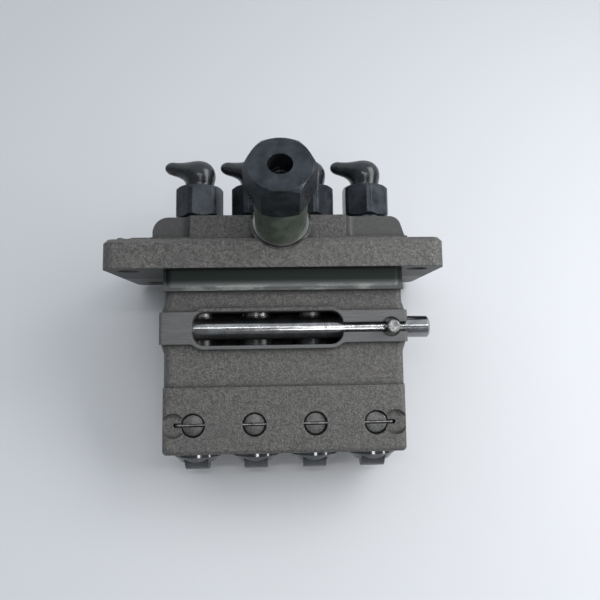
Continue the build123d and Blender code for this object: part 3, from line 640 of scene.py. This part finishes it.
def make_guide_pins():
    """Domed pin heads with a rounded rim and a driver slot for the wire."""
    start = low("guide_pins") / mm
    end = high("guide_pins") / mm
    radius = (end.z - start.z) / 2
    z = (start.z + end.z) / 2
    profile = pin_profile(start.y, end.y, radius)
    shapes = join([turned_pin(x / mm, z, profile) for x in row])
    pins = new_object("slotted_pins", *shapes, special["guide_pins"], 35)
    reach = radius + cutter_margin
    depth = (start.y - cutter_margin, start.y + slot_depth)
    slots = [block((x / mm - reach, x / mm + reach), depth, (z - slot_half, z + slot_half)) for x in row]
    cutter = new_object("slot_cutter", *join(slots), special["guide_pins"])
    cut = pins.modifiers.new("slots", "BOOLEAN")
    cut.object = cutter
    cut.solver = "EXACT"
    bpy.context.view_layer.update()
    graph = bpy.context.evaluated_depsgraph_get()
    mesh = bpy.data.meshes.new_from_object(pins.evaluated_get(graph))
    pins.modifiers.clear()
    pins.data = mesh
    mesh.set_sharp_from_angle(angle=math.radians(35))
    bpy.data.objects.remove(cutter)
    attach(pins, "pump_body")
    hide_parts("guide_pins")


wire_bend = 1.3
bend_steps = 8
wire_spans = 60
wire_sides = 12
# How far the wire wavers, and how often, in depth and in height
waver_depth = (0.04, 9.0)
waver_height = (0.05, 14.0)


def make_wire():
    """Round wire through the four slots, bent into the block at both ends."""
    start = low("locking_wire") / mm
    end = high("locking_wire") / mm
    radius = (end.z - start.z) / 2
    front = start.y + radius
    z = (start.z + end.z) / 2
    left = start.x + radius
    right = end.x - radius
    bend = []
    for step in range(bend_steps + 1):
        angle = math.pi / 2 * step / bend_steps
        bend.append((wire_bend * (1 - math.cos(angle)), front + wire_bend * (1 - math.sin(angle))))
    path = [(left, end.y, z)]
    path += [(left + across, y, z) for across, y in bend]
    for step in range(1, wire_spans):
        share = step / wire_spans
        across = left + wire_bend + (right - left - 2 * wire_bend) * share
        depth = front + waver_depth[0] * math.sin(waver_depth[1] * share)
        path.append((across, depth, z + waver_height[0] * math.sin(waver_height[1] * share)))
    path += [(right - across, y, z) for across, y in reversed(bend)]
    path.append((right, end.y, z))
    wire = new_object("smooth_wire", *sweep(path, radius, wire_sides), special["locking_wire"], 50)
    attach(wire, "pump_body")
    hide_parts("locking_wire")


# ---------------------------------------------------------------- springs
plunger_spring = {"radius": 7.6, "wire": 2.2, "turns": 4.5, "steps": 20, "sides": 8, "travel": 7.0}
delivery_spring = {"radius": 2.7, "wire": 0.8, "turns": 4.0, "steps": 16, "sides": 6, "travel": 2.0}
spring_gap = 0.04


def make_spring(kind, number, shape):
    """Coil of round wire between the CAD spring's ends."""
    node = f"{kind}_{number}"
    wire = shape["wire"] / 2 - spring_gap
    x = row[number - 1] / mm
    foot = low(node).z / mm + spring_gap + wire
    top = high(node).z / mm - spring_gap - wire
    count = round(shape["turns"] * shape["steps"])
    path = []
    for step in range(count + 1):
        angle = 2 * math.pi * step / shape["steps"]
        height = foot + (top - foot) * step / count
        path.append((x + shape["radius"] * math.cos(angle), shape["radius"] * math.sin(angle), height))
    coil = sweep(path, wire, shape["sides"])
    spring = new_object(f"coil_{node}", *coil, materials["spring_steel"], 50)
    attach(spring, "pump_body")
    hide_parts(node)
    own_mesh(spring)


# ---------------------------------------------------------------- thread in the inlet
thread_pitch = 1.5
thread_turns = 8
thread_steps = 40
thread_depth = 0.6
thread_start = 1.0
thread_foot = 0.7
thread_crest = 0.1
thread_fade = 20
thread_gap = 0.02


def make_inlet_thread():
    """Ridge that winds down the bore of the inlet union."""
    bore = next(mount for mount in frame["record"]["mounts"] if mount["name"] == "inlet_bore")
    mouth = Vector(bore["pos_m"]) / mm
    outward = Vector(bore["axis"]).normalized()
    side = outward.cross(Vector((1, 0, 0))).normalized()
    other = outward.cross(side)
    wall = bore["dims"]["r_mm"]
    steps = thread_turns * thread_steps
    rings = []
    for step in range(steps + 1):
        angle = 2 * math.pi * step / thread_steps
        fade = min(1, step / thread_fade, (steps - step) / thread_fade)
        crest = wall - thread_gap - thread_depth * fade
        radial = math.cos(angle) * side + math.sin(angle) * other
        centre = mouth - outward * (thread_start + thread_pitch * step / thread_steps)
        ring = []
        ridge = ((wall, thread_foot), (crest, thread_crest), (crest, -thread_crest), (wall, -thread_foot))
        for radius, along in ridge:
            ring.append(centre + radius * radial + along * outward)
        rings.append(ring)
    thread = new_object("inlet_thread", *skin(rings), materials["black_oxide"], 30)
    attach(thread, "pump_body")


# ---------------------------------------------------------------- stage
table_colour = (0.58, 0.59, 0.61, 1)
table_rough = 0.6
table_reach = 1.5
table_gap = 0.2
block_back = 16.9
sky_colour = (0.9, 0.95, 1.0, 1)
sky_rise = (0.05, 0.6)
room_level = 0.3
sky_level = 0.95
backdrop_colour = (0.6, 0.62, 0.65, 1)

# Name, place, target, width, height, watts
lamps = (
    ("upper_right", (0.36, -0.27, 0.16), (0, 0, -0.02), 0.25, 0.45, 1.6),
    ("near_camera", (0.03, -0.6, 0.12), (0, 0, -0.02), 0.4, 0.024, 0.5),
    ("spark", (0.05, -0.6, 0.01), (0, 0, -0.02), 0.05, 0.05, 0.12),
    ("low_front", (0.063, -0.6, -0.17), (0, 0, -0.06), 0.12, 0.1, 0.36),
    ("behind", (-0.25, 0.6, 0.3), (0, 0, -0.02), 0.5, 0.5, 3.5),
    ("low_right", (0.36, -0.225, -0.1), (0, 0, -0.06), 0.05, 0.2, 0.25),
)


def table_surface():
    """Pale and dull from the front, clear from the back, so that it never hides the pump."""
    material = bpy.data.materials.new("table_top")
    material.use_nodes = True
    tree = material.node_tree
    surface = tree.nodes["Principled BSDF"]
    surface.inputs["Roughness"].default_value = table_rough
    surface.inputs["Base Color"].default_value = table_colour
    geometry = tree.nodes.new("ShaderNodeNewGeometry")
    clear = tree.nodes.new("ShaderNodeBsdfTransparent")
    mix = tree.nodes.new("ShaderNodeMixShader")
    tree.links.new(geometry.outputs["Backfacing"], mix.inputs[0])
    tree.links.new(surface.outputs[0], mix.inputs[1])
    tree.links.new(clear.outputs[0], mix.inputs[2])
    tree.links.new(mix.outputs[0], tree.nodes["Material Output"].inputs["Surface"])
    return material


def make_table():
    """The table that the pump lies on, on the back edge of its flange and of its tappet block."""
    flange_back = high("housing").y
    block_bottom = low("housing").z
    up = Vector((0, flange_back - block_back * mm, -block_bottom)).normalized()
    across = Vector((1, 0, 0))
    centre = Vector((0, flange_back + table_gap * mm, 0))
    signs = ((-1, -1), (1, -1), (1, 1), (-1, 1))
    corners = [centre + across * table_reach * a + up * table_reach * b for a, b in signs]
    mesh = bpy.data.meshes.new("table")
    mesh.from_pydata(corners, [], [(0, 1, 2, 3)])
    mesh.materials.append(table_surface())
    table = bpy.data.objects.new("table", mesh)
    scene.collection.objects.link(table)
    # Without its own shadow, the lamp behind reaches the back of the pump
    table.visible_shadow = False


def make_lamp(name, place, target, width, height, power):
    data = bpy.data.lights.new(name, "AREA")
    data.shape = "RECTANGLE"
    data.size = width
    data.size_y = height
    data.energy = power
    lamp = bpy.data.objects.new(name, data)
    lamp.location = place
    lamp.rotation_euler = (Vector(target) - Vector(place)).to_track_quat("-Z", "Y").to_euler()
    scene.collection.objects.link(lamp)


def make_light():
    """A pale sky over a dimmer room, an even backdrop for the camera, and the lamps."""
    world = bpy.data.worlds.new("world")
    scene.world = world
    world.use_nodes = True
    tree = world.node_tree
    direction = tree.nodes.new("ShaderNodeTexCoord")
    axes = tree.nodes.new("ShaderNodeSeparateXYZ")
    height = tree.nodes.new("ShaderNodeMapRange")
    height.interpolation_type = "SMOOTHSTEP"
    height.inputs["From Min"].default_value = sky_rise[0]
    height.inputs["From Max"].default_value = sky_rise[1]
    height.inputs["To Min"].default_value = room_level
    height.inputs["To Max"].default_value = sky_level
    sky = tree.nodes["Background"]
    sky.inputs["Color"].default_value = sky_colour
    tree.links.new(direction.outputs["Generated"], axes.inputs[0])
    tree.links.new(axes.outputs["Z"], height.inputs["Value"])
    tree.links.new(height.outputs[0], sky.inputs["Strength"])
    backdrop = tree.nodes.new("ShaderNodeBackground")
    backdrop.inputs["Color"].default_value = backdrop_colour
    seen = tree.nodes.new("ShaderNodeLightPath")
    choose = tree.nodes.new("ShaderNodeMixShader")
    tree.links.new(seen.outputs["Is Camera Ray"], choose.inputs[0])
    tree.links.new(sky.outputs[0], choose.inputs[1])
    tree.links.new(backdrop.outputs[0], choose.inputs[2])
    tree.links.new(choose.outputs[0], tree.nodes["World Output"].inputs["Surface"])
    for lamp in lamps:
        make_lamp(*lamp)


make_camera()
dress_nodes()
for number in numbers:
    make_cap(number)
make_guide_pins()
make_wire()
for number in numbers:
    make_spring("plunger_spring", number, plunger_spring)
    make_spring("delivery_spring", number, delivery_spring)
make_inlet_thread()
make_table()
make_light()
scene.view_settings.view_transform = "Standard"
